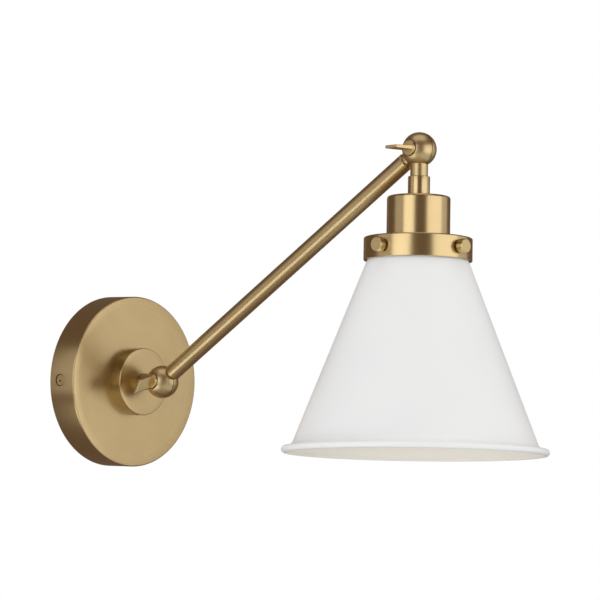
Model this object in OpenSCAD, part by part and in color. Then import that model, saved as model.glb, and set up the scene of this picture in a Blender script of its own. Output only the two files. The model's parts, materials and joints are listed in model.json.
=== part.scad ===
// Swing arm wall sconce: a round wall canopy, an arm with a clamped ball knuckle at
// each end, and a conical spun-metal shade hung from a four-screw collar.
// The wall is the XZ plane, the origin is the middle of the canopy's back,
// +Z is up and the arm stands out along -Y. All sizes are in millimetres.

/* [Canopy] */
// Outside diameter of the wall canopy
canopy_d = 127; // [120:1:140]
// Depth of the canopy from the wall to its face
canopy_depth = 24.8; // [22:0.2:28]
// Sheet thickness of the canopy
canopy_wall = 1.2; // [0.8:0.1:1.6]
// Radius of the canopy's front edge
canopy_edge_r = 1; // [0.4:0.1:1.1]

/* [Hub] */
// Diameter of the hub disc on the canopy
hub_d = 50; // [46:1:60]
// Thickness of the hub disc
hub_t = 9.6; // [9:0.2:14]
// Distance from the hub's face to the lower ball's centre
stem_reach = 19.2; // [18:0.2:26]

/* [Arm] */
// Distance between the two ball centres
arm_len = 294; // [200:1:400]
// Angle of the arm above the horizontal at rest
arm_angle = 34; // [20:1:45]
// Outside diameter of the arm tube
tube_d = 12.3; // [11:0.1:12.6]
// Wall thickness of the arm tube
tube_wall = 0.9; // [0.7:0.1:1]

/* [Knuckles] */
// Diameter of each knuckle ball
ball_d = 24.2; // [23:0.2:26]
// Diameter of the necks that join the balls
neck_d = 12.4; // [11:0.1:12.6]
// Reach of a thumb key from the ball's centre
key_reach = 24; // [22:0.5:32]
// Turn of the lower thumb key about the hinge, down from the wall side
lower_key_turn = 65; // [0:1:90]

/* [Head] */
// Outward tilt of the head from plumb at rest
head_tilt = 2.5; // [0:0.5:10]
// Depth from the upper ball's centre to the top of the socket cup
cup_top = 33.2; // [32:0.2:36]
// Outside diameter of the socket cup
cup_d = 44.4; // [42:0.2:48]
// Depth from the upper ball's centre to the top of the collar
collar_top = 62.4; // [60:0.2:66]
// Outside diameter of the shade collar
collar_d = 76; // [74:0.2:80]
// Height of the shade collar
collar_h = 16; // [15:0.5:20]

/* [Shade] */
// Depth from the upper ball's centre to the middle of the rim bead
rim_depth = 211; // [180:1:240]
// Diameter over the middle of the rim bead
rim_d = 181.6; // [170:1:200]
// Radius of the rolled bead at the rim
bead_r = 2.4; // [1.5:0.1:3]
// Sheet thickness of the shade
shade_wall = 0.9; // [0.6:0.1:1.2]

/* [Lamp socket] */
// Inside diameter of the screw shell for a medium screw lamp
shell_d = 26.3; // [26:0.1:27]

/* [Hidden] */
$fn = 96;
FIT = 0.05;              // running clearance of a shaft in its hole, each side
GAP = 0.3;               // space between faces that move past each other
SLACK = 0.2;             // clearance of a screw in a plain hole, each side
PRESS = 0.02;            // clearance of parts held by a thread, each side
PASS = 1;                // how far a cutter runs past a face

BRASS = [0.72, 0.60, 0.36];
BRIGHT_BRASS = [0.80, 0.68, 0.42];
STEEL = [0.70, 0.71, 0.72];
WHITE = [0.93, 0.93, 0.92];
BLACK = [0.08, 0.08, 0.08];
GREEN = [0.12, 0.42, 0.20];
COPPER = [0.72, 0.42, 0.24];
CERAMIC = [0.90, 0.88, 0.82];
CABLE_GREY = [0.55, 0.55, 0.55];
ORANGE = [0.85, 0.32, 0.05];

// Canopy and strap
canopy_r = canopy_d / 2;
canopy_bore_r = 6;       // clears the stem's shank
strap_t = 2;
strap_w = 20;
ear_t = 1.6;
ear_w = 14;
ear_over = 5;            // height of each bent ear past its screw
ear_x = canopy_r - canopy_wall - 1.7;     // outer face of each bent ear
side_screw_z = 10.4;     // height of the side screws off the wall
side_screw_drop = 2.9;   // side screws' distance below the canopy's middle
slot_centre = 39.7;      // middle of a slot: boxes with screws 70 to 89 mm apart
slot_r = 2.3;
slot_len = 14;
side_head_r = 3.9;
side_head_sink = 0.6;
side_hole_r = 4.5;
side_shank_r = 2;
side_shank_len = 6;
side_hex_r = 1.5;
side_hex_deep = 1.2;
ground_x = 22;
ground_r = 2;
ground_head_t = 2.4;
ground_head_flats = 8;
lug_r = 3.6;             // eye of the ground lead under its screw
lug_t = 3.2;

// Leads, which leave the stem's end and bend flat behind the canopy
lead_start = 1.7;        // distance of each lead from the stem's middle
lead_bend_r = 4;
lead_r = 1.1;
ground_lead_r = 0.9;
lead_end = 27;
ground_lead_place = 60;
black_lead_place = 180;
white_lead_place = 300;
black_turn = 235;
white_turn = 305;
connector_from = 23.5;
connector_len = 20;
connector_mouth_r = 5.5;
connector_tip_r = 3.6;
connector_offset = 3;    // leads enter this far off a connector's middle
connector_bore_len = 12;

// Hub
hub_edge_r = 0.7;
hub_wall = 3;
hub_boss_r = 10;
hub_screw_at = 15.5;
hub_screw_r = 2;
hub_post_r = 4;
hub_screw_len = 7;
hub_screw_head_r = 3.8;
hub_screw_head_t = 2.2;

// Stem
shank_r = 5;
stem_ball_at = canopy_depth + hub_t + stem_reach;   // wall to the lower ball's centre
shank_end = 12;          // height of the shank's end off the wall
washer_t = 1.8;
stem_washer_r = 9;
nut_t = 5;
nut_flats = 17;

// Knuckles
ball_r = ball_d / 2;
neck_r = neck_d / 2;
cavity_r = 8.6;
pivot_boss_r = 4.4;
pivot_r = 2;
base_face = 0.3;         // the key half stops this far short of the mid-plane
arm_face = 0.2;          // the arm half stops this far short of the mid-plane
seat_x = 9.4;            // flat seat sunk in each half, out from the mid-plane
seat_r = 6;
washer_r = 11.4;
friction_t = 0.2;
bolt_head_r = 4.2;
bolt_head_t = 2;
bolt_reach = 11.4;       // the bolt's thread ends this far out, inside the key
slot_w = 0.8;            // width of a screwdriver slot
slot_deep = 1;
key_disc_r = 5.5;
key_disc_t = 2.6;
key_half_w = 5.1;
key_sweep = 5.6;         // sideways lean of the key's leaf at its tip
key_root = 1.6;          // the leaf starts this far above the seat
key_t = 2.4;
key_corner_r = 1.2;
cable_r = 2.2;
passage_r = 2.9;
passage_stop = 5.5;      // a wire passage ends this far from the pivot, in the cavity
cable_stop = 12.6;       // the cable of each body ends this far from a pivot

// Arm
tube_r = tube_d / 2;
tube_bore_r = tube_r - tube_wall;
arm_neck_r = 4.6;
lower_gap = 12.8;        // lower ball's centre to the end of the tube
upper_gap = 13.8;        // upper ball's centre to the end of the tube
spigot_len = 12;

// Head
neck_end = 19.1;
spigot_r = 5;
spigot_in = 5;
cable_tail = 2;          // the head's cable runs this far past its nipple
coupling_r = 7.7;
coupling_edge = 0.5;
nipple_r = 4.86;
nipple_bore_r = 3;
nipple_top = 26;
nipple_end = 42;
locknut_t = 3;
locknut_flats = 14;
cup_wall = 1.2;
cup_edge_r = 1.8;
collar_r = collar_d / 2;
collar_wall = 1.2;
collar_edge_r = 1;
collar_bottom = collar_top + collar_h;
collar_lip = 0.4;        // rounding of the collar's lower edge
screw_depth = collar_top + collar_h / 2;
thumb_shank_r = 2;
thumb_tip = 34.6;
thumb_base_r = 3.6;
thumb_base_t = 0.8;
thumb_head_r = 5.3;
thumb_head_t = 5;
thumb_edge = 0.35;

// Shade
shade_neck_r = 34;
shade_top = screw_depth - 4;
shade_lip_r = 35.9;
shoulder = collar_bottom - 3.8;           // where the cone starts below its neck
crease_depth = rim_depth - 4.5;
crease_r = rim_d / 2 - 5.2;
bead_start = 140;        // where the rolled bead leaves the crease
bead_end = -175;

// Lamp socket
shell_r = shell_d / 2;
shell_wall = 0.5;
shell_top = 54;
shell_end = 74;
seat_depth = 50.5;       // upper ball's centre to the porcelain seat above the shell
holder_r = 17.5;
holder_top = 38;
holder_end = 70;
holder_cavity_r = 12;
terminal_depth = 45.5;
holder_floor = 2.5;      // porcelain between the wiring space and the shell
shell_rim = 2;           // how far the shell's turned edge stands out
shell_rim_t = 0.6;
contact_r = 5;
contact_t = 1;
spring_reach = 3;
spring_base_r = 2.6;
spring_tip_r = 1.6;
terminal_r = 1.55;
terminal_in = 12.5;
terminal_hole_in = 10;
terminal_head_r = 3.2;
terminal_head_t = 1.8;

// Points along an arc, from angle a0 to a1.
function arc(cx, cy, r, a0, a1, steps = 8) =
    [for (i = [0:steps]) let (a = a0 + (a1 - a0) * i / steps) [cx + r * cos(a), cy + r * sin(a)]];

// Circumscribed radius of a hexagon from its size across the flats.
function hex_r(flats) = flats / 2 / cos(30);

// Draws with local +Z pointing straight out of the wall.
module from_wall() {
    rotate([90, 0, 0]) children();
}

// Draws round the lower ball, with local -Z pointing back at the wall.
module at_lower_ball() {
    translate([0, -stem_ball_at, 0]) from_wall() children();
}

// Draws along the arm, with local +Z running from the lower ball to the upper one.
module along_arm() {
    translate([0, -stem_ball_at, 0]) rotate([90 - arm_angle, 0, 0]) children();
}

// Draws round the upper ball, with local -Z pointing down into the head.
module at_upper_ball() {
    translate([0, -stem_ball_at - arm_len * cos(arm_angle), arm_len * sin(arm_angle)])
        rotate([-head_tilt, 0, 0]) children();
}

// A straight tube that stands between two heights.
module ring(outer, inner, low, high) {
    translate([0, 0, low]) difference() {
        cylinder(r = outer, h = high - low);
        translate([0, 0, -PASS]) cylinder(r = inner, h = high - low + 2 * PASS);
    }
}

// A rod along X between two places.
module rod_x(r, from, to) {
    translate([from, 0, 0]) rotate([0, 90, 0]) cylinder(r = r, h = to - from);
}

// Everything on one side of the hinge's mid-plane, past the given distance.
module beyond(side, distance) {
    translate([side * (distance + ball_d), 0, 0]) cube(2 * ball_d, center = true);
}

// The -X half of a hollow knuckle ball, with its pivot boss, bore and outer seat.
module half_ball(face) {
    difference() {
        intersection() {
            sphere(r = ball_r);
            beyond(-1, face);
        }
        difference() {
            sphere(r = cavity_r);
            rod_x(pivot_boss_r, -ball_r, ball_r);
        }
        rod_x(pivot_r + FIT, -ball_d, ball_d);
        intersection() {
            rod_x(seat_r, -ball_d, ball_d);
            beyond(-1, seat_x);
        }
    }
}

// A half ball with a neck along local -Z. The neck is cut clear of the other half.
module necked_half(face, r, end, bore_end) {
    difference() {
        union() {
            half_ball(face);
            difference() {
                translate([0, 0, -end]) cylinder(r = r, h = end - cavity_r - PASS);
                intersection() {
                    sphere(r = ball_r + GAP);
                    beyond(1, -face);
                }
            }
            children();
        }
        translate([0, 0, -bore_end - PASS])
            cylinder(r = passage_r, h = bore_end + PASS - passage_stop);
    }
}

// Pivot bolt along the hinge axis, its head sunk in the arm half's seat.
module pivot_bolt() {
    head = seat_x + GAP;
    rod_x(pivot_r, -bolt_reach, head + bolt_head_t / 2);
    difference() {
        rod_x(bolt_head_r, head, head + bolt_head_t);
        translate([head + bolt_head_t, 0, 0])
            cube([2 * slot_deep, 2 * bolt_head_r + PASS, slot_w], center = true);
    }
}

// Thin disc that keeps the two halves of a ball from rubbing.
module friction_washer() {
    difference() {
        rod_x(washer_r, -base_face, -base_face + friction_t);
        rod_x(cavity_r, -ball_r, ball_r);
    }
}

// Outline of the key's leaf: it leans to one side towards its tip.
module key_leaf() {
    inset = key_corner_r;
    root = -seat_x - key_root - inset;
    tip = -key_reach + inset;
    offset(r = inset, $fn = 24)
        polygon([
            [root, -key_half_w + inset],
            [tip, -key_half_w + key_sweep + inset],
            [tip, key_half_w + key_sweep - inset],
            [root, key_half_w - inset]
        ]);
}

// Thumb key: a disc tapped for the pivot bolt, with a flat leaf to turn it by.
module thumb_key() {
    difference() {
        union() {
            rod_x(key_disc_r, -seat_x - GAP - key_disc_t, -seat_x - GAP);
            translate([0, 0, -key_t / 2]) linear_extrude(key_t) key_leaf();
        }
        rod_x(pivot_r + FIT, -bolt_reach - GAP, 0);
    }
}

// A lead that leaves the stem, bends through an elbow and runs out flat in one direction.
module elbow_lead(r, place, turn, length) {
    bend = lead_bend_r;
    translate([lead_start * cos(place), lead_start * sin(place), 0]) rotate([0, 0, turn]) {
        translate([0, 0, shank_end - bend]) cylinder(r = r, h = bend - GAP);
        translate([bend, 0, shank_end - bend]) rotate([90, 0, 0])
            rotate([0, 0, 180]) rotate_extrude(angle = 90) translate([bend, 0]) circle(r = r);
        translate([0, 0, shank_end - 2 * bend]) rod_x(r, bend, length);
    }
}

// Hexagonal nut round a tube that stands along local Z.
module hex_nut(flats, bore, low, high) {
    translate([0, 0, low]) difference() {
        cylinder(r = hex_r(flats), h = high - low, $fn = 6);
        translate([0, 0, -PASS]) cylinder(r = bore, h = high - low + 2 * PASS);
    }
}

module mounting_strap() {
    color(STEEL) from_wall() difference() {
        union() {
            translate([-ear_x, -strap_w / 2, 0]) cube([2 * ear_x, strap_w, strap_t]);
            for (side = [-1, 1])
                translate([side * (ear_x - ear_t / 2), 0, (side_screw_z + ear_over) / 2])
                    cube([ear_t, ear_w, side_screw_z + ear_over], center = true);
        }
        for (side = [-1, 1]) {
            for (end = [-1, 1])
                translate([side * slot_centre + end * (slot_len / 2 - slot_r), 0, -PASS])
                    cylinder(r = slot_r, h = strap_t + 2 * PASS);
            translate([side * slot_centre, 0, strap_t / 2])
                cube([slot_len - 2 * slot_r, 2 * slot_r, strap_t + 2 * PASS], center = true);
            translate([side * ear_x, -side_screw_drop, side_screw_z])
                rod_x(side_shank_r + FIT, -2 * ear_t, 2 * ear_t);
        }
        translate([ground_x, 0, -PASS]) cylinder(r = ground_r + FIT, h = strap_t + 2 * PASS);
    }
}

module ground_screw() {
    color(GREEN) from_wall() translate([ground_x, 0, 0]) {
        head = strap_t + lug_t;
        cylinder(r = ground_r, h = head + PASS);
        difference() {
            translate([0, 0, head])
                cylinder(r = hex_r(ground_head_flats), h = ground_head_t, $fn = 6);
            translate([0, 0, head + ground_head_t])
                cube([2 * ground_head_flats, slot_w, 2 * slot_deep], center = true);
        }
    }
}

module ground_lead() {
    color(COPPER) from_wall() {
        elbow_lead(ground_lead_r, ground_lead_place, 0, ground_x - lug_r);
        translate([ground_x, 0, 0]) ring(lug_r, ground_r + FIT, strap_t, strap_t + lug_t);
    }
}

module supply_lead_black() {
    color(BLACK) from_wall() elbow_lead(lead_r, black_lead_place, black_turn, lead_end);
}

module supply_lead_white() {
    color(WHITE) from_wall() elbow_lead(lead_r, white_lead_place, white_turn, lead_end);
}

// A screw-on connector that lies over the end of one lead.
module connector(place, turn) {
    translate([lead_start * cos(place), lead_start * sin(place), 0]) rotate([0, 0, turn])
        translate([connector_from, 0, shank_end - 2 * lead_bend_r + connector_offset])
            rotate([0, 90, 0]) difference() {
                cylinder(r1 = connector_mouth_r, r2 = connector_tip_r, h = connector_len);
                translate([connector_offset, 0, -PASS])
                    cylinder(r = lead_r + FIT, h = connector_bore_len);
            }
}

module wire_connectors() {
    color(ORANGE) from_wall() {
        connector(black_lead_place, black_turn);
        connector(white_lead_place, white_turn);
    }
}

module canopy() {
    back_r = canopy_r - canopy_wall;
    face = canopy_depth - canopy_wall;
    color(BRASS) from_wall() difference() {
        rotate_extrude() polygon(concat(
            [[back_r, 0], [canopy_r, 0]],
            arc(canopy_r - canopy_edge_r, canopy_depth - canopy_edge_r, canopy_edge_r, 0, 90),
            [[canopy_bore_r, canopy_depth], [canopy_bore_r, face], [back_r, face]]
        ));
        translate([0, -side_screw_drop, side_screw_z]) rod_x(side_hole_r, -canopy_d, canopy_d);
        for (side = [-1, 1])
            translate([0, side * hub_screw_at, face - PASS])
                cylinder(r = hub_screw_r + SLACK, h = canopy_wall + 2 * PASS);
    }
}

module canopy_screws() {
    color(BRASS) from_wall()
        for (side = [0, 1])
            translate([0, -side_screw_drop, side_screw_z]) mirror([side, 0, 0]) difference() {
                union() {
                    rod_x(side_shank_r, ear_x - side_shank_len, ear_x + PASS);
                    rod_x(side_head_r, ear_x, canopy_r - side_head_sink);
                }
                translate([canopy_r - side_head_sink - side_hex_deep, 0, 0]) rotate([0, 90, 0])
                    cylinder(r = side_hex_r, h = side_hex_deep + PASS, $fn = 6);
            }
}

module hub() {
    pocket = hub_t - hub_wall;
    color(BRASS) from_wall() translate([0, 0, canopy_depth]) difference() {
        rotate_extrude() polygon(concat(
            [[shank_r + FIT, 0], [hub_d / 2, 0]],
            arc(hub_d / 2 - hub_edge_r, hub_t - hub_edge_r, hub_edge_r, 0, 90),
            [[shank_r + FIT, hub_t]]
        ));
        difference() {
            translate([0, 0, -PASS]) cylinder(r = hub_d / 2 - hub_wall, h = pocket + PASS);
            translate([0, 0, -PASS]) cylinder(r = hub_boss_r, h = hub_t);
            for (side = [-1, 1])
                translate([0, side * hub_screw_at, -PASS]) cylinder(r = hub_post_r, h = hub_t);
        }
        for (side = [-1, 1])
            translate([0, side * hub_screw_at, -PASS])
                cylinder(r = hub_screw_r + FIT, h = pocket + PASS);
    }
}

module hub_screws() {
    face = canopy_depth - canopy_wall;
    back = face - hub_screw_head_t;
    color(STEEL) from_wall()
        for (side = [-1, 1])
            translate([0, side * hub_screw_at, 0]) difference() {
                union() {
                    translate([0, 0, face]) cylinder(r = hub_screw_r, h = hub_screw_len);
                    translate([0, 0, back]) cylinder(r = hub_screw_head_r, h = hub_screw_head_t);
                }
                translate([0, 0, back])
                    cube([2 * hub_screw_head_r + PASS, slot_w, 2 * slot_deep], center = true);
            }
}

module wall_stem() {
    neck = stem_reach - GAP;
    color(BRASS) at_lower_ball()
        necked_half(base_face, neck_r, neck, stem_ball_at - shank_end)
            translate([0, 0, -stem_ball_at + shank_end])
                cylinder(r = shank_r, h = stem_ball_at - shank_end - neck + PASS);
}

module stem_washer() {
    top = canopy_depth - canopy_wall - GAP;
    color(STEEL) from_wall() ring(stem_washer_r, shank_r + PRESS, top - washer_t, top);
}

module stem_nut() {
    top = canopy_depth - canopy_wall - GAP - washer_t;
    color(STEEL) from_wall() hex_nut(nut_flats, shank_r + PRESS, top - nut_t, top);
}

module stem_cable() {
    color(CABLE_GREY) at_lower_ball()
        translate([0, 0, -stem_ball_at + shank_end])
            cylinder(r = cable_r, h = stem_ball_at - shank_end - cable_stop);
}

module lower_pivot_bolt() {
    color(BRASS) at_lower_ball() pivot_bolt();
}

module lower_friction_washer() {
    color(BLACK) at_lower_ball() friction_washer();
}

module lower_thumb_key() {
    color(BRIGHT_BRASS) translate([0, -stem_ball_at, 0]) rotate([-lower_key_turn, 0, 0])
        thumb_key();
}

// The arm's half of a knuckle, with a neck and a spigot that fills the tube's end.
module arm_half(gap) {
    end = gap + spigot_len;
    rotate([0, 0, 180]) necked_half(arm_face, arm_neck_r, end, end)
        translate([0, 0, -end]) cylinder(r = tube_bore_r - PRESS, h = spigot_len);
}

module lower_knuckle_half() {
    color(BRASS) along_arm() rotate([180, 0, 0]) arm_half(lower_gap);
}

module arm_tube() {
    color(BRASS) along_arm() ring(tube_r, tube_bore_r, lower_gap, arm_len - upper_gap);
}

module arm_cable() {
    color(CABLE_GREY) along_arm()
        translate([0, 0, cable_stop]) cylinder(r = cable_r, h = arm_len - 2 * cable_stop);
}

module upper_knuckle_half() {
    color(BRASS) along_arm() translate([0, 0, arm_len]) arm_half(upper_gap);
}

module head_knuckle_half() {
    color(BRASS) at_upper_ball()
        necked_half(base_face, neck_r, neck_end, neck_end + spigot_in)
            translate([0, 0, -neck_end - spigot_in])
                cylinder(r = spigot_r, h = spigot_in + PASS);
}

module upper_pivot_bolt() {
    color(BRASS) at_upper_ball() pivot_bolt();
}

module upper_friction_washer() {
    color(BLACK) at_upper_ball() friction_washer();
}

module upper_thumb_key() {
    color(BRIGHT_BRASS) at_upper_ball() thumb_key();
}

module neck_coupling() {
    height = cup_top - neck_end;
    color(BRASS) at_upper_ball() translate([0, 0, -cup_top]) difference() {
        rotate_extrude() polygon([
            [nipple_r + PRESS, 0], [coupling_r - coupling_edge, 0], [coupling_r, coupling_edge],
            [coupling_r, height - coupling_edge], [coupling_r - coupling_edge, height],
            [nipple_r + PRESS, height]
        ]);
        translate([0, 0, height - spigot_in - SLACK])
            cylinder(r = spigot_r + PRESS, h = spigot_in + PASS);
    }
}

module head_nipple() {
    color(STEEL) at_upper_ball() ring(nipple_r, nipple_bore_r, -nipple_end, -nipple_top);
}

module head_locknut() {
    top = cup_top + cup_wall;
    color(STEEL) at_upper_ball()
        hex_nut(locknut_flats, nipple_r + PRESS, -top - locknut_t, -top);
}

module head_cable() {
    end = nipple_end + cable_tail;
    color(CABLE_GREY) at_upper_ball()
        translate([0, 0, -end]) cylinder(r = cable_r, h = end - cable_stop);
}

module socket_cup() {
    r = cup_d / 2;
    height = collar_top - cup_top;
    color(BRASS) at_upper_ball() translate([0, 0, -collar_top]) rotate_extrude()
        polygon(concat(
            [[r - cup_wall, 0], [r, 0]],
            arc(r - cup_edge_r, height - cup_edge_r, cup_edge_r, 0, 90),
            [[nipple_r + PRESS, height], [nipple_r + PRESS, height - cup_wall],
             [r - cup_wall, height - cup_wall]]
        ));
}

module shade_collar() {
    inner = cup_d / 2 - cup_wall;
    color(BRASS) at_upper_ball() translate([0, 0, -collar_bottom]) difference() {
        rotate_extrude() polygon(concat(
            [[collar_r - collar_wall, 0]],
            arc(collar_r - collar_lip, collar_lip, collar_lip, -90, 0, 4),
            arc(collar_r - collar_edge_r, collar_h - collar_edge_r, collar_edge_r, 0, 90),
            [[inner, collar_h], [inner, collar_h - collar_wall],
             [collar_r - collar_wall, collar_h - collar_wall]]
        ));
        for (turn = [0, 90])
            rotate([0, 0, turn]) translate([0, 0, collar_h / 2])
                rod_x(thumb_shank_r + FIT, -collar_d, collar_d);
    }
}

// One knurled screw that grips the shade's neck under its lip.
module collar_screw(turn) {
    head = collar_r + GAP;
    high = head + thumb_base_t + thumb_head_t;
    color(BRIGHT_BRASS) at_upper_ball() rotate([0, 0, turn]) translate([0, 0, -screw_depth])
        rotate([0, 90, 0]) rotate_extrude() polygon([
            [0, thumb_tip], [thumb_shank_r, thumb_tip], [thumb_shank_r, head],
            [thumb_base_r, head], [thumb_base_r, head + thumb_base_t],
            [thumb_head_r, head + thumb_base_t], [thumb_head_r, high - thumb_edge],
            [thumb_head_r - thumb_edge, high], [0, high]
        ]);
}

module collar_screw_front() {
    collar_screw(270);
}

module collar_screw_back() {
    collar_screw(90);
}

module collar_screw_left() {
    collar_screw(180);
}

module collar_screw_right() {
    collar_screw(0);
}

module shade() {
    w = shade_wall;
    color(WHITE) at_upper_ball() rotate_extrude() polygon(concat(
        [[shade_neck_r - w, -shade_top], [shade_lip_r, -shade_top],
         [shade_lip_r, -shade_top - w], [shade_neck_r, -shade_top - w],
         [shade_neck_r, -shoulder], [crease_r, -crease_depth]],
        arc(rim_d / 2, -rim_depth, bead_r, bead_start, bead_end, 20),
        [[crease_r - w, -crease_depth - w / 2], [shade_neck_r - w, -shoulder - w / 2]]
    ));
}

module lampholder_body() {
    color(CERAMIC) at_upper_ball() difference() {
        translate([0, 0, -holder_end]) cylinder(r = holder_r, h = holder_end - holder_top);
        translate([0, 0, -nipple_end - PASS])
            cylinder(r = nipple_r + PRESS, h = nipple_end - holder_top + 2 * PASS);
        translate([0, 0, -seat_depth + holder_floor])
            cylinder(r = holder_cavity_r, h = seat_depth - holder_floor - nipple_end - PASS);
        translate([0, 0, -holder_end - PASS])
            cylinder(r = shell_r + shell_wall + PRESS, h = holder_end + PASS - seat_depth);
        for (side = [0, 1])
            translate([0, 0, -terminal_depth]) mirror([side, 0, 0])
                rod_x(terminal_r + FIT, terminal_hole_in, holder_r + PASS);
    }
}

module screw_shell() {
    color(BRIGHT_BRASS) at_upper_ball() {
        ring(shell_r + shell_wall, shell_r, -shell_end, -shell_top);
        ring(shell_r + shell_rim, shell_r, -shell_end, -shell_end + shell_rim_t);
    }
}

module centre_contact() {
    color(BRIGHT_BRASS) at_upper_ball() {
        translate([0, 0, -seat_depth - contact_t]) cylinder(r = contact_r, h = contact_t);
        translate([0, 0, -seat_depth - spring_reach])
            cylinder(r1 = spring_tip_r, r2 = spring_base_r, h = spring_reach - contact_t / 2);
    }
}

module terminal_screws() {
    color(BRIGHT_BRASS) at_upper_ball()
        for (side = [0, 1])
            translate([0, 0, -terminal_depth]) mirror([side, 0, 0]) {
                rod_x(terminal_r, terminal_in, holder_r + PASS);
                rod_x(terminal_head_r, holder_r, holder_r + terminal_head_t);
            }
}

mounting_strap();
ground_screw();
ground_lead();
supply_lead_black();
supply_lead_white();
wire_connectors();
canopy();
canopy_screws();
hub();
hub_screws();
wall_stem();
stem_washer();
stem_nut();
stem_cable();
lower_pivot_bolt();
lower_friction_washer();
lower_thumb_key();
lower_knuckle_half();
arm_tube();
arm_cable();
upper_knuckle_half();
head_knuckle_half();
upper_pivot_bolt();
upper_friction_washer();
upper_thumb_key();
neck_coupling();
head_nipple();
head_locknut();
head_cable();
socket_cup();
shade_collar();
shade();
lampholder_body();
screw_shell();
centre_contact();
terminal_screws();
collar_screw_front();
collar_screw_back();
collar_screw_left();
collar_screw_right();
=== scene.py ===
import json
import math

import bpy
from mathutils import Matrix, Vector


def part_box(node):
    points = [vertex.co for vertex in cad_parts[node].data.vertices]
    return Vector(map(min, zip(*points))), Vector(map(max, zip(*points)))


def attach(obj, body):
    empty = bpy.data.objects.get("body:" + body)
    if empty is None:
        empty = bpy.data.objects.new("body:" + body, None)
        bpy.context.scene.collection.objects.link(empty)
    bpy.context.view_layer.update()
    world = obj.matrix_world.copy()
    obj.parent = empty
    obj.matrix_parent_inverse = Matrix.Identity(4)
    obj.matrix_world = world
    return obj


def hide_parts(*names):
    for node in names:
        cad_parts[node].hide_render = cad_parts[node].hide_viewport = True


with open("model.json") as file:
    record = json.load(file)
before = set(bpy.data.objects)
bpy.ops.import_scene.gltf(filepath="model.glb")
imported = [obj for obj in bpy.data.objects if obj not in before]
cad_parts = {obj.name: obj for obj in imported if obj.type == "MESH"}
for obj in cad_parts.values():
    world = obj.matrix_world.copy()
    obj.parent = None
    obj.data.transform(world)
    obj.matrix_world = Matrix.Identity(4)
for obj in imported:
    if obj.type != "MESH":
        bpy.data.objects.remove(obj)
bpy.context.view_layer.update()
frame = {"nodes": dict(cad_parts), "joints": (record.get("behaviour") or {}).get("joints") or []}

# Where the sconce hinges. The lower ball is on the stem, the upper ball carries the head, and the
# head's own axis runs from the upper ball down through the middle of the collar.
joint = {j["name"]: j for j in frame["joints"]}
lower_ball = Vector(joint["arm_tilt"]["pos_m"])
upper_ball = Vector(joint["head_tilt"]["pos_m"])
collar_middle = Vector(joint["collar_screw_front_turn"]["pos_m"])
arm_line = (upper_ball - lower_ball).normalized()
head_line = (upper_ball - collar_middle).normalized()
hinge_line = Vector((1, 0, 0))


def stand(origin, up):
    """A place whose own Z runs along up and whose own X is the hinge line."""
    across = up.cross(hinge_line)
    turn = Matrix((hinge_line, across, up)).transposed()
    return Matrix.Translation(origin) @ turn.to_4x4()


wall_place = stand(Vector((0, 0, 0)), Vector((0, -1, 0)))
arm_place = stand(lower_ball, arm_line)
head_place = stand(upper_ball, head_line)


# Satin brass. The turned and spun parts are brushed on the lathe, burnished and lacquered, so a
# fine grain runs round each part's own axis, and the tone drifts where the lacquer is thicker.
def wire(material, name, kind, inputs, **settings):
    """Adds one shader node. Its inputs are plain values or other nodes' outputs."""
    node = material.node_tree.nodes.new(kind)
    node.name = name
    for setting, value in settings.items():
        setattr(node, setting, value)
    for socket, value in inputs.items():
        if isinstance(value, bpy.types.NodeSocket):
            material.node_tree.links.new(value, node.inputs[socket])
        else:
            node.inputs[socket].default_value = value
    return node


def new_finish(name):
    """An empty material with its output, and the surface coordinates to read a pattern from."""
    material = bpy.data.materials.new(name)
    material.use_nodes = True
    material.node_tree.nodes.clear()
    wire(material, "Output", "ShaderNodeOutputMaterial", {})
    wire(material, "Place", "ShaderNodeTexCoord", {})
    return material


def show(material, shader):
    """Joins a shader to the material's output."""
    links = material.node_tree.links
    links.new(shader.outputs[0], material.node_tree.nodes["Output"].inputs["Surface"])
    return material


def blend_tones(material, name, factor, dark, light):
    """A colour ramp between two tones, driven by a pattern."""
    ramp = wire(material, name, "ShaderNodeValToRGB", {"Fac": factor})
    ramp.color_ramp.elements[0].position = 0.3
    ramp.color_ramp.elements[1].position = 0.7
    ramp.color_ramp.elements[0].color = (*dark, 1)
    ramp.color_ramp.elements[1].color = (*light, 1)
    return ramp


grains_per_metre = 7000.0
grain_stretch = (1.0, 1.0, 0.015)


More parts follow.
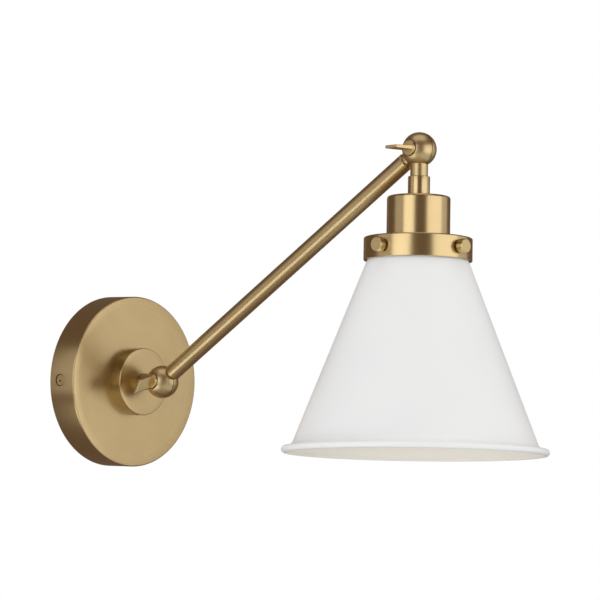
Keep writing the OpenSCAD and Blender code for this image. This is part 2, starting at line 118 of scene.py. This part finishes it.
def brushed_metal(name, place, dark, light, roughness=0.3, grain="round", streak=1.0):
    """Lacquered metal with a fine brushed grain, round the place's Z axis or along it."""
    material = new_finish(name)
    point = wire(
        material, "FromAxis", "ShaderNodeMapping",
        {
            "Vector": material.node_tree.nodes["Place"].outputs["Object"],
            "Location": place.inverted().translation,
            "Rotation": place.inverted().to_euler(),
        },
    )
    parts = wire(material, "Parts", "ShaderNodeSeparateXYZ", {"Vector": point.outputs[0]})
    flat = wire(
        material, "Flat", "ShaderNodeCombineXYZ",
        {"X": parts.outputs["X"], "Y": parts.outputs["Y"], "Z": 0.0},
    )
    radius = wire(
        material, "Radius", "ShaderNodeVectorMath", {0: flat.outputs[0]}, operation="LENGTH"
    )
    if grain == "round":
        grain_point = wire(
            material, "GrainPoint", "ShaderNodeCombineXYZ",
            {"X": radius.outputs["Value"], "Y": 0.0, "Z": parts.outputs["Z"]},
        )
    else:
        grain_point = wire(
            material, "GrainPoint", "ShaderNodeVectorMath",
            {0: point.outputs[0], 1: grain_stretch}, operation="MULTIPLY",
        )
    lines = wire(
        material, "Lines", "ShaderNodeTexNoise",
        {"Vector": grain_point.outputs[0], "Scale": grains_per_metre,
         "Detail": 2.0, "Roughness": 0.5},
    )
    cloud = wire(
        material, "Cloud", "ShaderNodeTexNoise",
        {"Vector": point.outputs[0], "Scale": 38.0, "Detail": 4.0, "Roughness": 0.55},
    )
    tone = blend_tones(material, "Tone", cloud.outputs["Fac"], dark, light)
    streaks = wire(
        material, "Streaks", "ShaderNodeMapRange",
        {"Value": lines.outputs["Fac"], "From Min": 0.3, "From Max": 0.7,
         "To Min": 1.0 - streak * 0.03, "To Max": 1.0 + streak * 0.02},
    )
    colour = wire(
        material, "Colour", "ShaderNodeVectorMath",
        {0: tone.outputs["Color"], 1: streaks.outputs["Result"]}, operation="MULTIPLY",
    )
    rough = wire(
        material, "Rough", "ShaderNodeMapRange",
        {"Value": lines.outputs["Fac"], "From Min": 0.25, "From Max": 0.75,
         "To Min": roughness - streak * 0.02, "To Max": roughness + streak * 0.025},
    )
    bump = wire(
        material, "Bump", "ShaderNodeBump",
        {"Height": lines.outputs["Fac"], "Strength": 0.02 * streak, "Distance": 0.00001},
    )
    shader = wire(
        material, "Metal", "ShaderNodeBsdfPrincipled",
        {"Base Color": colour.outputs[0], "Metallic": 1.0, "Roughness": rough.outputs["Result"],
         "Normal": bump.outputs["Normal"], "Coat Weight": 0.3, "Coat Roughness": 0.2},
    )
    return show(material, shader)


brass_dark = (0.590, 0.450, 0.228)
brass_light = (0.630, 0.487, 0.252)
wall_brass = brushed_metal(
    "satin_brass_wall", wall_place, brass_dark, brass_light, 0.28, streak=0.5
)
arm_brass = brushed_metal(
    "satin_brass_arm", arm_place, brass_dark, brass_light, 0.36, grain="long", streak=0.03
)
head_brass = brushed_metal(
    "satin_brass_head", head_place, brass_dark, brass_light, 0.25, streak=0.5
)
ball_place = stand(lower_ball, Vector((0, -1, 0)))
lower_brass = brushed_metal(
    "satin_brass_lower_ball", ball_place, brass_dark, brass_light, 0.37, streak=0.5
)


crisp_angle = math.radians(28)
weld_distance = 0.000002


def show_cad(node, *materials):
    """Gives a CAD node its finish, and smooth curved faces with its real edges kept crisp."""
    piece = frame["nodes"][node]
    piece.data.materials.clear()
    for material in materials:
        piece.data.materials.append(material)
    for face in piece.data.polygons:
        face.use_smooth = True
        face.material_index = 0
    piece.modifiers.new("Weld", "WELD").merge_threshold = weld_distance
    split = piece.modifiers.new("CrispEdges", "EDGE_SPLIT")
    split.split_angle = crisp_angle
    return piece


# Mounting hardware behind the canopy. A bent strip of zinc plated steel screws to the junction box,
# with a green earth screw, and the canopy hangs on its two bent ears. Pressed and tapped steel.
zinc = brushed_metal(
    "zinc_plate", wall_place, (0.50, 0.50, 0.50), (0.62, 0.62, 0.60), 0.36, grain="long", streak=2.0
)
for node in (
    "mounting_strap", "hub_screws", "stem_washer", "stem_nut", "head_nipple", "head_locknut"
):
    show_cad(node, zinc)
green_zinc = brushed_metal("green_zinc", wall_place, (0.02, 0.16, 0.05), (0.05, 0.26, 0.09), 0.36)
show_cad("ground_screw", green_zinc)
copper = brushed_metal("bare_copper", wall_place, (0.62, 0.27, 0.14), (0.74, 0.36, 0.20), 0.3)
show_cad("ground_lead", copper)


# Insulation, cable jacket and other small mouldings. Extruded or moulded plastic has a faint
# mottle in its tone and a soft, slightly uneven surface.
def moulding(name, dark, light, roughness, grain=900.0, coat=0.0):
    """A dielectric with a mottled tone and a fine uneven surface."""
    material = new_finish(name)
    point = material.node_tree.nodes["Place"].outputs["Object"]
    mottle = wire(
        material, "Mottle", "ShaderNodeTexNoise",
        {"Vector": point, "Scale": 60.0, "Detail": 3.0, "Roughness": 0.5},
    )
    skin = wire(
        material, "Skin", "ShaderNodeTexNoise",
        {"Vector": point, "Scale": grain, "Detail": 2.0, "Roughness": 0.5},
    )
    tone = blend_tones(material, "Tone", mottle.outputs["Fac"], dark, light)
    rough = wire(
        material, "Rough", "ShaderNodeMapRange",
        {"Value": skin.outputs["Fac"], "To Min": roughness - 0.05, "To Max": roughness + 0.05},
    )
    bump = wire(
        material, "Bump", "ShaderNodeBump",
        {"Height": skin.outputs["Fac"], "Strength": 0.12, "Distance": 0.00005},
    )
    shader = wire(
        material, "Plastic", "ShaderNodeBsdfPrincipled",
        {"Base Color": tone.outputs["Color"], "Roughness": rough.outputs["Result"],
         "Normal": bump.outputs["Normal"], "Coat Weight": coat, "Coat Roughness": 0.12},
    )
    return show(material, shader)


black_insulation = moulding("black_insulation", (0.012, 0.012, 0.013), (0.03, 0.03, 0.03), 0.42)
white_insulation = moulding("white_insulation", (0.72, 0.72, 0.69), (0.82, 0.82, 0.80), 0.42)
cable_jacket = moulding("cable_jacket", (0.30, 0.30, 0.30), (0.38, 0.38, 0.37), 0.5)
pressed_fibre = moulding("pressed_fibre", (0.018, 0.014, 0.011), (0.045, 0.036, 0.028), 0.7, 2400.0)
show_cad("supply_lead_black", black_insulation)
show_cad("supply_lead_white", white_insulation)
for node in ("stem_cable", "arm_cable", "head_cable"):
    show_cad(node, cable_jacket)
for node in ("lower_friction_washer", "upper_friction_washer"):
    show_cad(node, pressed_fibre)


# Turned parts are made from one ring of points, which is drawn out and scaled from one station
# of the outline to the next, as on a lathe, and then set down on the part's own axis.
def bend(centre_r, centre_z, radius, start, end, steps=6):
    """Stations round a curved corner of an outline, from one angle to another."""
    angles = [math.radians(start + (end - start) * i / steps) for i in range(steps + 1)]
    return [(centre_r + radius * math.cos(a), centre_z + radius * math.sin(a)) for a in angles]


def take_hold(piece):
    """Makes one piece the only selected and active object."""
    bpy.ops.object.select_all(action="DESELECT")
    piece.select_set(True)
    bpy.context.view_layer.objects.active = piece


smallest_r = 0.01
same_point = 0.00002


def turned(name, outline, place, sides=128, closed=True):
    """A turned piece: outline is its (radius, height) stations in millimetres, base to base."""
    bpy.ops.object.select_all(action="DESELECT")
    radius, height = outline[0]
    bpy.ops.mesh.primitive_circle_add(vertices=sides, radius=max(radius, smallest_r) / 1000)
    piece = bpy.context.object
    piece.name = name
    bpy.ops.object.mode_set(mode="EDIT")
    bpy.ops.mesh.select_all(action="SELECT")
    bpy.ops.transform.translate(value=(0, 0, height / 1000))
    stations = outline[1:] + (outline[:1] if closed else [])
    for next_radius, next_height in stations:
        bpy.ops.mesh.extrude_region()
        bpy.ops.transform.translate(value=(0, 0, (next_height - height) / 1000))
        grow = max(next_radius, smallest_r) / max(radius, smallest_r)
        bpy.ops.transform.resize(
            value=(grow, grow, 1), center_override=(0, 0, next_height / 1000)
        )
        radius, height = next_radius, next_height
    bpy.ops.mesh.select_all(action="SELECT")
    bpy.ops.mesh.remove_doubles(threshold=same_point)
    bpy.ops.mesh.normals_make_consistent(inside=False)
    bpy.ops.object.mode_set(mode="OBJECT")
    settle(piece, place)
    return piece


def settle(piece, place):
    """Sets a finished shape down at its place, and leaves its object at the origin."""
    take_hold(piece)
    piece.matrix_world = place
    bpy.ops.object.transform_apply(location=True, rotation=True, scale=True)
    bpy.ops.object.shade_smooth_by_angle(angle=crisp_angle)


def finish_piece(piece, body, slot, nodes, *materials):
    """Gives a new piece its materials and its body, and hides the CAD nodes that it stands for. The
    slot is not used.
    """
    for material in materials:
        piece.data.materials.append(material)
    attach(piece, body)
    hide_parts(*nodes)


def cut_with(piece, cutter):
    """Cuts one shape out of another, and clears the cutter away."""
    cut = piece.modifiers.new("Cut", "BOOLEAN")
    cut.operation = "DIFFERENCE"
    cut.solver = "EXACT"
    cut.object = cutter
    take_hold(piece)
    bpy.ops.object.modifier_apply(modifier=cut.name)
    bpy.data.objects.remove(cutter)


def rod(radius, length, centre, direction, sides=48):
    """A plain rod to cut with."""
    bpy.ops.object.select_all(action="DESELECT")
    turn = Vector((0, 0, 1)).rotation_difference(direction).to_euler()
    bpy.ops.mesh.primitive_cylinder_add(
        vertices=sides, radius=radius, depth=length, location=centre, rotation=turn
    )
    bpy.ops.object.transform_apply(location=True, rotation=True, scale=True)
    return bpy.context.object


# Wall canopy: a deep round cover of spun brass with a small rolled front edge. It is brushed round
# its own middle, and has a hole each side for the screws that hold it to the strap's ears.
canopy_low, canopy_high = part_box("canopy")
canopy_r = (canopy_high.x - canopy_low.x) * 500
canopy_depth = (canopy_high.y - canopy_low.y) * 1000
canopy_wall = 1.2
canopy_edge = 1.0
canopy_hole = 6.0
canopy_back_edge = 0.2
canopy_crease = 0.8
face_rings = (56, 48, 40, 32, 24, 16)
side_hole_gap = 0.0006
side_cut = 0.012
canopy = turned(
    "canopy_shell",
    [(canopy_r - canopy_wall, 0), (canopy_r - canopy_back_edge, 0), (canopy_r, canopy_back_edge)]
    + bend(canopy_r - canopy_edge, canopy_depth - canopy_edge, canopy_edge, 0, 90)
    + [(r, canopy_depth) for r in face_rings]
    + [(canopy_hole, canopy_depth), (canopy_hole, canopy_depth - canopy_wall),
       (canopy_r - canopy_wall - canopy_crease, canopy_depth - canopy_wall),
       (canopy_r - canopy_wall, canopy_depth - canopy_wall - canopy_crease)],
    wall_place, sides=192,
)
screws_low, screws_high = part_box("canopy_screws")
screws_middle = (Vector(screws_low) + Vector(screws_high)) / 2
side_hole_r = (screws_high.z - screws_low.z) / 2 + side_hole_gap
for side in (-1, 1):
    middle = screws_middle + hinge_line * side * canopy_r / 1000
    cut_with(canopy, rod(side_hole_r, side_cut, middle, hinge_line))
bpy.ops.object.shade_smooth_by_angle(angle=crisp_angle)
finish_piece(canopy, "wall_mount", "satin_brass", ["canopy"], wall_brass)
show_cad("canopy_screws", wall_brass)

# Hub: a thick turned disc screwed to the canopy from behind, faced and brushed on the lathe.
# The stem turns in its bore.
hub_low, hub_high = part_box("hub")
hub_r = (hub_high.x - hub_low.x) * 500
hub_top = -hub_low.y * 1000
hub_base = -hub_high.y * 1000
hub_edge = 0.6
hub_bore = 5.06
hub_bore_edge = 0.3
hub_rings = (20, 15, 10)
hub = turned(
    "hub_disc",
    [(hub_bore, hub_base), (hub_r, hub_base)]
    + bend(hub_r - hub_edge, hub_top - hub_edge, hub_edge, 0, 90, 5)
    + [(r, hub_top) for r in hub_rings]
    + [(hub_bore + hub_bore_edge, hub_top), (hub_bore, hub_top - hub_bore_edge)],
    wall_place, sides=144,
)
finish_piece(hub, "wall_mount", "satin_brass", ["hub"], wall_brass)

# Wire connectors: cones of moulded plastic with a spring inside, screwed over the joined leads.
# They lie flat in the canopy, below the strap.
connector_plastic = moulding(
    "connector_plastic", (0.70, 0.20, 0.02), (0.82, 0.28, 0.04), 0.32, 700.0
)
show_cad("wire_connectors", connector_plastic)

# Knuckles. Each ball is two cast and turned brass half shells that meet on the hinge's mid-plane,
# with a fibre washer between them, and a bolt through both that the thumb key draws tight.
show_cad("wall_stem", lower_brass)
show_cad("lower_pivot_bolt", lower_brass)
show_cad("lower_knuckle_half", lower_brass)
upper_brass = brushed_metal(
    "satin_brass_upper_ball", head_place, brass_dark, brass_light, 0.37, streak=0.5
)
show_cad("upper_knuckle_half", upper_brass)
show_cad("head_knuckle_half", upper_brass)
show_cad("upper_pivot_bolt", upper_brass)

# Arm tube: drawn brass tube, brushed along its length, pressed and soldered on the spigots of the
# two knuckle halves. Its ends are faced square with a small chamfer.
arm_length = (upper_ball - lower_ball).length * 1000
tube_r = (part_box("arm_tube")[1].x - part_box("arm_tube")[0].x) * 500
tube_wall = 0.9
tube_bore = tube_r - tube_wall
tube_start = 12.8
upper_gap = 13.8
tube_end = arm_length - upper_gap
tube_chamfer = 0.3
arm = turned(
    "arm_tube_drawn",
    [(tube_bore, tube_start), (tube_r - tube_chamfer, tube_start),
     (tube_r, tube_start + tube_chamfer), (tube_r, tube_end - tube_chamfer),
     (tube_r - tube_chamfer, tube_end), (tube_bore, tube_end)],
    arm_place, sides=96,
)
finish_piece(arm, "arm", "satin_brass", ["arm_tube"], arm_brass)

# Neck coupling and socket cup: a turned coupling screwed on the head knuckle, and a deep drawn
# brass cup clamped under it, which hides the lampholder.
neck_end = 19.1
coupling_r = 7.7
coupling_edge = 0.5
cup_r = (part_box("socket_cup")[1].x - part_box("socket_cup")[0].x) * 500
cup_top = 33.2
cup_end = 62.4
cup_wall = 1.2
cup_edge = 1.8
cup_crease = 0.6
nipple_bore = 4.9
spigot_bore = 5.02
coupling = turned(
    "neck_coupling_turned",
    [(nipple_bore, -cup_top)]
    + bend(coupling_r - coupling_edge, -cup_top + coupling_edge, coupling_edge, -90, 0, 3)
    + bend(coupling_r - coupling_edge, -neck_end - coupling_edge, coupling_edge, 0, 90, 3)
    + [(spigot_bore, -neck_end)],
    head_place, sides=96,
)
finish_piece(coupling, "head", "satin_brass", ["neck_coupling"], head_brass)
cup = turned(
    "socket_cup_drawn",
    [(cup_r - cup_wall, -cup_end), (cup_r, -cup_end)]
    + bend(cup_r - cup_edge, -cup_top - cup_edge, cup_edge, 0, 90, 8)
    + [(nipple_bore, -cup_top), (nipple_bore, -cup_top - cup_wall),
       (cup_r - cup_wall - cup_crease, -cup_top - cup_wall),
       (cup_r - cup_wall, -cup_top - cup_wall - cup_crease)],
    head_place, sides=144,
)
finish_piece(cup, "head", "satin_brass", ["socket_cup"], head_brass)

# Shade collar: a flat-topped brass gallery, drawn from sheet with its lower edge rounded over. The
# four screws that grip the shade pass through its side, and their heads hide the tapped holes.
collar_r = 38.0
collar_h = 16.0
collar_wall = 1.2
collar_edge = 1.0
collar_lip = 0.4
collar_seat = 2
collar_end = cup_end + collar_h
collar = turned(
    "shade_collar_spun",
    [(collar_r - collar_wall, -collar_end)]
    + bend(collar_r - collar_lip, -collar_end + collar_lip, collar_lip, -90, 0, 4)
    + bend(collar_r - collar_edge, -cup_end - collar_edge, collar_edge, 0, 90, 6)
    + [(cup_r + collar_seat, -cup_end), (cup_r - cup_wall, -cup_end),
       (cup_r - cup_wall, -cup_end - collar_wall),
       (collar_r - collar_wall, -cup_end - collar_wall)],
    head_place, sides=192,
)
finish_piece(collar, "head", "satin_brass", ["shade_collar"], head_brass)

# Collar screws: four short brass screws with straight-knurled heads and bevelled plain faces, a
# narrow base next to the collar, and a plain tip that bears on the shade's neck.
screw_brass = brushed_metal("turned_brass", head_place, (0.66, 0.50, 0.24), (0.70, 0.54, 0.27), 0.3)
screw_depth = (collar_middle - upper_ball).length
tip_at, tip_r = 34.6, 1.6
shank_from, shank_r = 35, 2
base_r, base_t = 3.6, 0.8
head_r = 5.3
head_t = 5.8
knurl_sides = 96
knurl_depth = 0.25
screw_from = collar_r + 0.3
screw_base = screw_from + base_t
screw_to = screw_from + head_t
for name in ("front", "back", "left", "right"):
    outward = Vector(joint["collar_screw_" + name + "_turn"]["axis"])
    across = head_line.cross(outward).normalized()
    turn = Matrix((head_line, -across, outward)).transposed()
    place = Matrix.Translation(upper_ball - head_line * screw_depth) @ turn.to_4x4()
    screw = turned(
        "collar_screw_" + name + "_knurled",
        [(0, tip_at), (tip_r, tip_at), (shank_r, shank_from), (shank_r, screw_from),
         (base_r, screw_from), (base_r, screw_base), (head_r - 0.4, screw_base),
         (head_r, screw_from + 1.1), (head_r, screw_to - 0.6),
         (head_r - 0.3, screw_to - 0.4), (head_r - 0.5, screw_to), (head_r - 1.5, screw_to),
         (head_r - 3.5, screw_to), (0, screw_to)],
        place, sides=knurl_sides, closed=False,
    )
    take_hold(screw)
    centre = upper_ball - head_line * screw_depth
    for corner in screw.data.vertices:
        offset = corner.co - centre
        spoke = offset - outward * offset.dot(outward)
        angle = math.atan2(spoke.dot(across), spoke.dot(head_line))
        step = round(angle / (2 * math.pi / knurl_sides))
        corner.select = spoke.length * 1000 > head_r - 0.05 and step % 2 == 0
    bpy.ops.object.mode_set(mode="EDIT")
    bpy.ops.mesh.select_mode(type="VERT")
    shrink = (head_r - knurl_depth) / head_r
    along = max(abs(c) for c in outward)
    away = [1 if abs(c) == along else shrink for c in outward]
    bpy.ops.transform.resize(value=away, center_override=centre)
    bpy.ops.object.mode_set(mode="OBJECT")
    node = "collar_screw_" + name
    finish_piece(screw, node, "turned_brass", [node], screw_brass)

# Thumb keys: a small turned disc tapped for the pivot bolt, with a flat leaf brazed across it. The
# leaf leans to one side and thins towards its tip, with every edge rounded by hand.
key_brass = brushed_metal(
    "key_brass", wall_place, (0.60, 0.45, 0.21), (0.66, 0.50, 0.24), 0.3, grain="long"
)
disc_from, disc_to = 9.7, 12.3
disc_r = 5.5
leaf_reach = 24
leaf_half = 5.1
leaf_lean = 5.6
leaf_thick, leaf_tip = 2.9, 2.1
leaf_round = 0.8
leaf_cuts = 5
leaf_from = disc_from + 1.2
dish = 0.4
dish_r = 2.1
disc_round = 0.7


def key_place(ball, leaf_side):
    """A thumb key's place: its own Z points out along the hinge, its own X to the leaf's side."""
    outward = -hinge_line
    turn = Matrix((leaf_side, outward.cross(leaf_side), outward)).transposed()
    return Matrix.Translation(ball) @ turn.to_4x4()


def thumb_key(name, place):
    """One key, made standing on its disc and then set down on its ball."""
    disc = turned(
        name,
        [(0, disc_from + dish), (dish_r, disc_from + dish), (dish_r, disc_from),
         (disc_r - dish, disc_from), (disc_r, disc_from + dish)]
        + bend(disc_r - disc_round, disc_to - disc_round, disc_round, 0, 90, 4) + [(0, disc_to)],
        Matrix.Identity(4), sides=64, closed=False,
    )
    bpy.ops.object.select_all(action="DESELECT")
    bpy.ops.mesh.primitive_cube_add(size=1)
    leaf = bpy.context.object
    leaf.scale = (2 * leaf_half / 1000, leaf_thick / 1000, (leaf_reach - leaf_from) / 1000)
    leaf.location = (0, 0, (leaf_reach + leaf_from) / 2000)
    bpy.ops.object.transform_apply(location=True, rotation=True, scale=True)
    bpy.ops.object.mode_set(mode="EDIT")
    bpy.ops.mesh.subdivide(number_cuts=leaf_cuts)
    bpy.ops.object.mode_set(mode="OBJECT")
    for corner in leaf.data.vertices:
        share = (corner.co.z * 1000 - leaf_from) / (leaf_reach - leaf_from)
        corner.co.x += leaf_lean / 1000 * share
        corner.co.y *= 1 - (1 - leaf_tip / leaf_thick) * share
    edges = leaf.modifiers.new("RoundCorners", "BEVEL")
    edges.width = leaf_round / 1000
    edges.segments = 4
    edges.limit_method = "ANGLE"
    bpy.ops.object.modifier_apply(modifier=edges.name)
    join = disc.modifiers.new("Braze", "BOOLEAN")
    join.operation = "UNION"
    join.solver = "EXACT"
    join.object = leaf
    take_hold(disc)
    bpy.ops.object.modifier_apply(modifier=join.name)
    bpy.data.objects.remove(leaf)
    settle(disc, place)
    return disc


lower_turn = math.radians(65)
lower_side = Vector((0, math.cos(lower_turn), -math.sin(lower_turn)))
lower_key = thumb_key("lower_thumb_key_leaf", key_place(lower_ball, lower_side))
finish_piece(lower_key, "lower_key", "turned_brass", ["lower_thumb_key"], key_brass)
upper_side = head_line.cross(hinge_line)
upper_key = thumb_key("upper_thumb_key_leaf", key_place(upper_ball, upper_side))
finish_piece(upper_key, "upper_key", "turned_brass", ["upper_thumb_key"], key_brass)


# Shade: one steel cone, spun, with a short lipped neck inside the collar and a rolled wire bead at
# the rim. It is enamelled satin white outside and a warmer cream inside.
def enamel(name, dark, light, roughness, coat):
    """Baked enamel: even colour with a faint drift, and the slight ripple of a sprayed coat."""
    material = new_finish(name)
    point = material.node_tree.nodes["Place"].outputs["Object"]
    drift = wire(
        material, "Drift", "ShaderNodeTexNoise",
        {"Vector": point, "Scale": 14.0, "Detail": 2.0, "Roughness": 0.5},
    )
    ripple = wire(
        material, "Ripple", "ShaderNodeTexNoise",
        {"Vector": point, "Scale": 420.0, "Detail": 2.0, "Roughness": 0.45},
    )
    tone = blend_tones(material, "Tone", drift.outputs["Fac"], dark, light)
    rough = wire(
        material, "Rough", "ShaderNodeMapRange",
        {"Value": ripple.outputs["Fac"], "To Min": roughness - 0.04, "To Max": roughness + 0.04},
    )
    bump = wire(
        material, "Bump", "ShaderNodeBump",
        {"Height": ripple.outputs["Fac"], "Strength": 0.06, "Distance": 0.00006},
    )
    shader = wire(
        material, "Enamel", "ShaderNodeBsdfPrincipled",
        {"Base Color": tone.outputs["Color"], "Roughness": rough.outputs["Result"],
         "Normal": bump.outputs["Normal"], "Coat Weight": coat, "Coat Roughness": 0.2},
    )
    return show(material, shader)


white_enamel = enamel("white_enamel", (0.845, 0.845, 0.845), (0.87, 0.87, 0.865), 0.42, 0.12)
cream_enamel = enamel("cream_enamel", (0.915, 0.875, 0.79), (0.93, 0.89, 0.805), 0.5, 0.05)
rim_depth = 211.0
rim_r = 90.8
rim_bead = 2.4
shade_wall = 0.9
shade_neck = 34.0
shade_lip = 35.9
lip_over_screws = 4
shade_top = screw_depth * 1000 - lip_over_screws
shoulder = collar_end - 3.8
crease_depth = rim_depth - 4.5
crease_r = rim_r - 5.2
crease_in = crease_r - shade_wall
cone_steps = 14
bead_start, bead_end, bead_steps = 138, -178, 22
outer_cone = [
    (shade_neck + (crease_r - shade_neck) * i / cone_steps,
     -shoulder - (crease_depth - shoulder) * i / cone_steps)
    for i in range(cone_steps)
]
inner_drop = shade_wall * 0.4
inner_cone = [(r - shade_wall, z - inner_drop) for r, z in reversed(outer_cone)]
shade = turned(
    "shade_spun_cone",
    [(shade_neck - shade_wall, -shade_top), (shade_lip, -shade_top),
     (shade_lip, -shade_top - shade_wall), (shade_neck, -shade_top - shade_wall)]
    + outer_cone
    + [(crease_r - 0.25, -crease_depth + 0.5), (crease_r + 0.5, -crease_depth - 0.35)]
    + bend(rim_r, -rim_depth, rim_bead, bead_start, bead_end, bead_steps)
    + [(crease_in + 0.3, -crease_depth - 0.9), (crease_in - 0.6, -crease_depth + 0.3)]
    + inner_cone,
    head_place, sides=256,
)
finish_piece(shade, "head", "white_enamel", ["shade"], white_enamel, cream_enamel)
inward_slope = -0.2
bead_inside = 0.6
to_head = head_place.inverted()
for face in shade.data.polygons:
    local = to_head @ face.center
    spoke = Vector((local.x, local.y, 0)).normalized()
    facing = (to_head.to_3x3() @ face.normal).dot(spoke)
    inside = facing < inward_slope and math.hypot(local.x, local.y) * 1000 < rim_r - bead_inside
    face.material_index = 1 if inside else 0

# Lampholder: glazed porcelain body screwed on the threaded nipple, with a rolled brass screw shell,
# a spring centre contact and two terminal screws.
porcelain = moulding(
    "glazed_porcelain", (0.78, 0.76, 0.70), (0.86, 0.84, 0.79), 0.22, 260.0, coat=0.8
)
show_cad("lampholder_body", porcelain)
contact_brass = brushed_metal(
    "contact_brass", head_place, (0.62, 0.47, 0.24), (0.74, 0.58, 0.32), 0.2
)
shell_r = 13.15
shell_top, shell_end = 54.0, 74.0
thread_pitch = 3.6
thread_depth = 0.45
turns = 4
turn_steps = 8
thread_from = shell_top + 2.4
shell_thick = 0.5
rim_out = shell_r + 1.9
thread = []
for step in range(turns * turn_steps + 1):
    depth = thread_from + thread_pitch * step / turn_steps
    wave = 0.5 - 0.5 * math.cos(2 * math.pi * step / turn_steps)
    thread.append((shell_r + thread_depth * (1 - wave), -depth))
inner = [(shell_r, -shell_top)] + thread
outer = [(r + shell_thick - 0.05, z) for r, z in reversed(thread)]
screw_shell = turned(
    "screw_shell_rolled",
    inner
    + [(shell_r + 0.1, -shell_end + 0.3), (rim_out, -shell_end), (rim_out, -shell_end + 0.4),
       (shell_r + shell_thick, -shell_end + 0.7)]
    + [(min(r, shell_r + shell_thick), z) for r, z in outer]
    + [(shell_r + shell_thick, -shell_top)],
    head_place, sides=96,
)
finish_piece(screw_shell, "head", "contact_brass", ["screw_shell"], contact_brass)
show_cad("centre_contact", contact_brass)
show_cad("terminal_screws", contact_brass)


# Studio: a pale floor below and in front of the sconce, a white surround that only the camera
# sees, and soft boxes round it. The brass shows the two tall ones as two bright bands.
floor_size = 3.2
floor_middle = (0, -2.3, -0.9)


def studio_floor():
    """The plain pale floor."""
    bpy.ops.object.select_all(action="DESELECT")
    bpy.ops.mesh.primitive_plane_add(size=floor_size, location=floor_middle)
    floor = bpy.context.object
    floor.name = "studio_floor"
    floor.data.materials.append(
        moulding("pale_floor", (0.80, 0.80, 0.79), (0.83, 0.83, 0.82), 0.8, 40.0)
    )


def soft_box(name, azimuth, elevation, distance, size, power, aim):
    """One rectangular soft box, placed round the sconce and turned to face it."""
    a, e = math.radians(azimuth), math.radians(elevation)
    away = Vector((math.sin(a) * math.cos(e), -math.cos(a) * math.cos(e), math.sin(e)))
    light = bpy.data.lights.new(name, "AREA")
    light.shape = "RECTANGLE"
    light.size, light.size_y = size
    light.energy = power
    box = bpy.data.objects.new(name, light)
    box.location = aim + away * distance
    box.rotation_euler = away.to_track_quat("Z", "Y").to_euler()
    bpy.context.scene.collection.objects.link(box)


camera_azimuth = -46.7
camera_elevation = -3.68
aim = Vector((0, -0.2, 0.06))
studio_floor()
soft_box("left_box", camera_azimuth - 35, 4, 1.6, (1.16, 1.3), 7.2, aim)
soft_box("left_fill", camera_azimuth - 78, 6, 1.7, (1.0, 1.3), 1.8, aim)
soft_box("left_low_box", camera_azimuth - 58, -41, 1.5, (1.4, 0.6), 4.4, aim)
soft_box("low_fill", camera_azimuth, -75, 1.5, (1.2, 1.2), 0.8, aim)
soft_box("right_box", camera_azimuth + 59, 4, 1.6, (1.8, 1.3), 10, aim)
soft_box("right_fill", camera_azimuth + 105, 6, 1.7, (0.9, 1.3), 2, aim)
soft_box("top_box", camera_azimuth, 80, 1.7, (1.8, 1.4), 6, aim)

world = bpy.data.worlds.new("studio")
bpy.context.scene.world = world
world.use_nodes = True
world.node_tree.nodes.clear()
surround = world.node_tree.nodes.new("ShaderNodeOutputWorld")
ray = world.node_tree.nodes.new("ShaderNodeLightPath")


def backdrop(colour):
    """An even surround of one colour."""
    even = world.node_tree.nodes.new("ShaderNodeBackground")
    even.inputs["Color"].default_value = (*colour, 1)
    return even


def pick(which, otherwise, chosen):
    """The chosen surround for one kind of ray, and the other one for the rest."""
    mix = world.node_tree.nodes.new("ShaderNodeMixShader")
    world.node_tree.links.new(ray.outputs[which], mix.inputs["Fac"])
    world.node_tree.links.new(otherwise.outputs[0], mix.inputs[1])
    world.node_tree.links.new(chosen.outputs[0], mix.inputs[2])
    return mix


dim = backdrop((0.155, 0.108, 0.082))
fill = backdrop((0.53, 0.53, 0.53))
white = backdrop((1, 1, 1))
seen = pick("Is Camera Ray", pick("Is Diffuse Ray", dim, fill), white)
world.node_tree.links.new(seen.outputs[0], surround.inputs["Surface"])
bpy.context.scene.view_settings.view_transform = "Standard"

# Camera: a long lens a little below the sconce, to the left of the arm, held very slightly turned.
camera_distance = 2.6
camera_roll = 2.79
focal_share = 3586.7 / 600
sensor = 36.0
a, e = math.radians(camera_azimuth), math.radians(camera_elevation)
back = Vector((math.sin(a) * math.cos(e), -math.cos(a) * math.cos(e), math.sin(e)))
right = Vector((math.cos(a), math.sin(a), 0))
up = back.cross(right)
aim_right, aim_up = 0.02901, 0.06158
target = Vector((0, -0.15, 0)) + right * aim_right + Vector((0, 0, aim_up))
roll = math.radians(camera_roll)
lens_right = right * math.cos(roll) + up * math.sin(roll)
lens_up = up * math.cos(roll) - right * math.sin(roll)
camera_data = bpy.data.cameras.new("camera")
camera_data.sensor_width = sensor
camera_data.lens = focal_share * sensor
camera_data.clip_start, camera_data.clip_end = 0.05, 50
camera = bpy.data.objects.new("camera", camera_data)
camera.matrix_world = (
    Matrix.Translation(target + back * camera_distance)
    @ Matrix((lens_right, lens_up, back)).transposed().to_4x4()
)
bpy.context.scene.collection.objects.link(camera)
bpy.context.scene.camera = camera
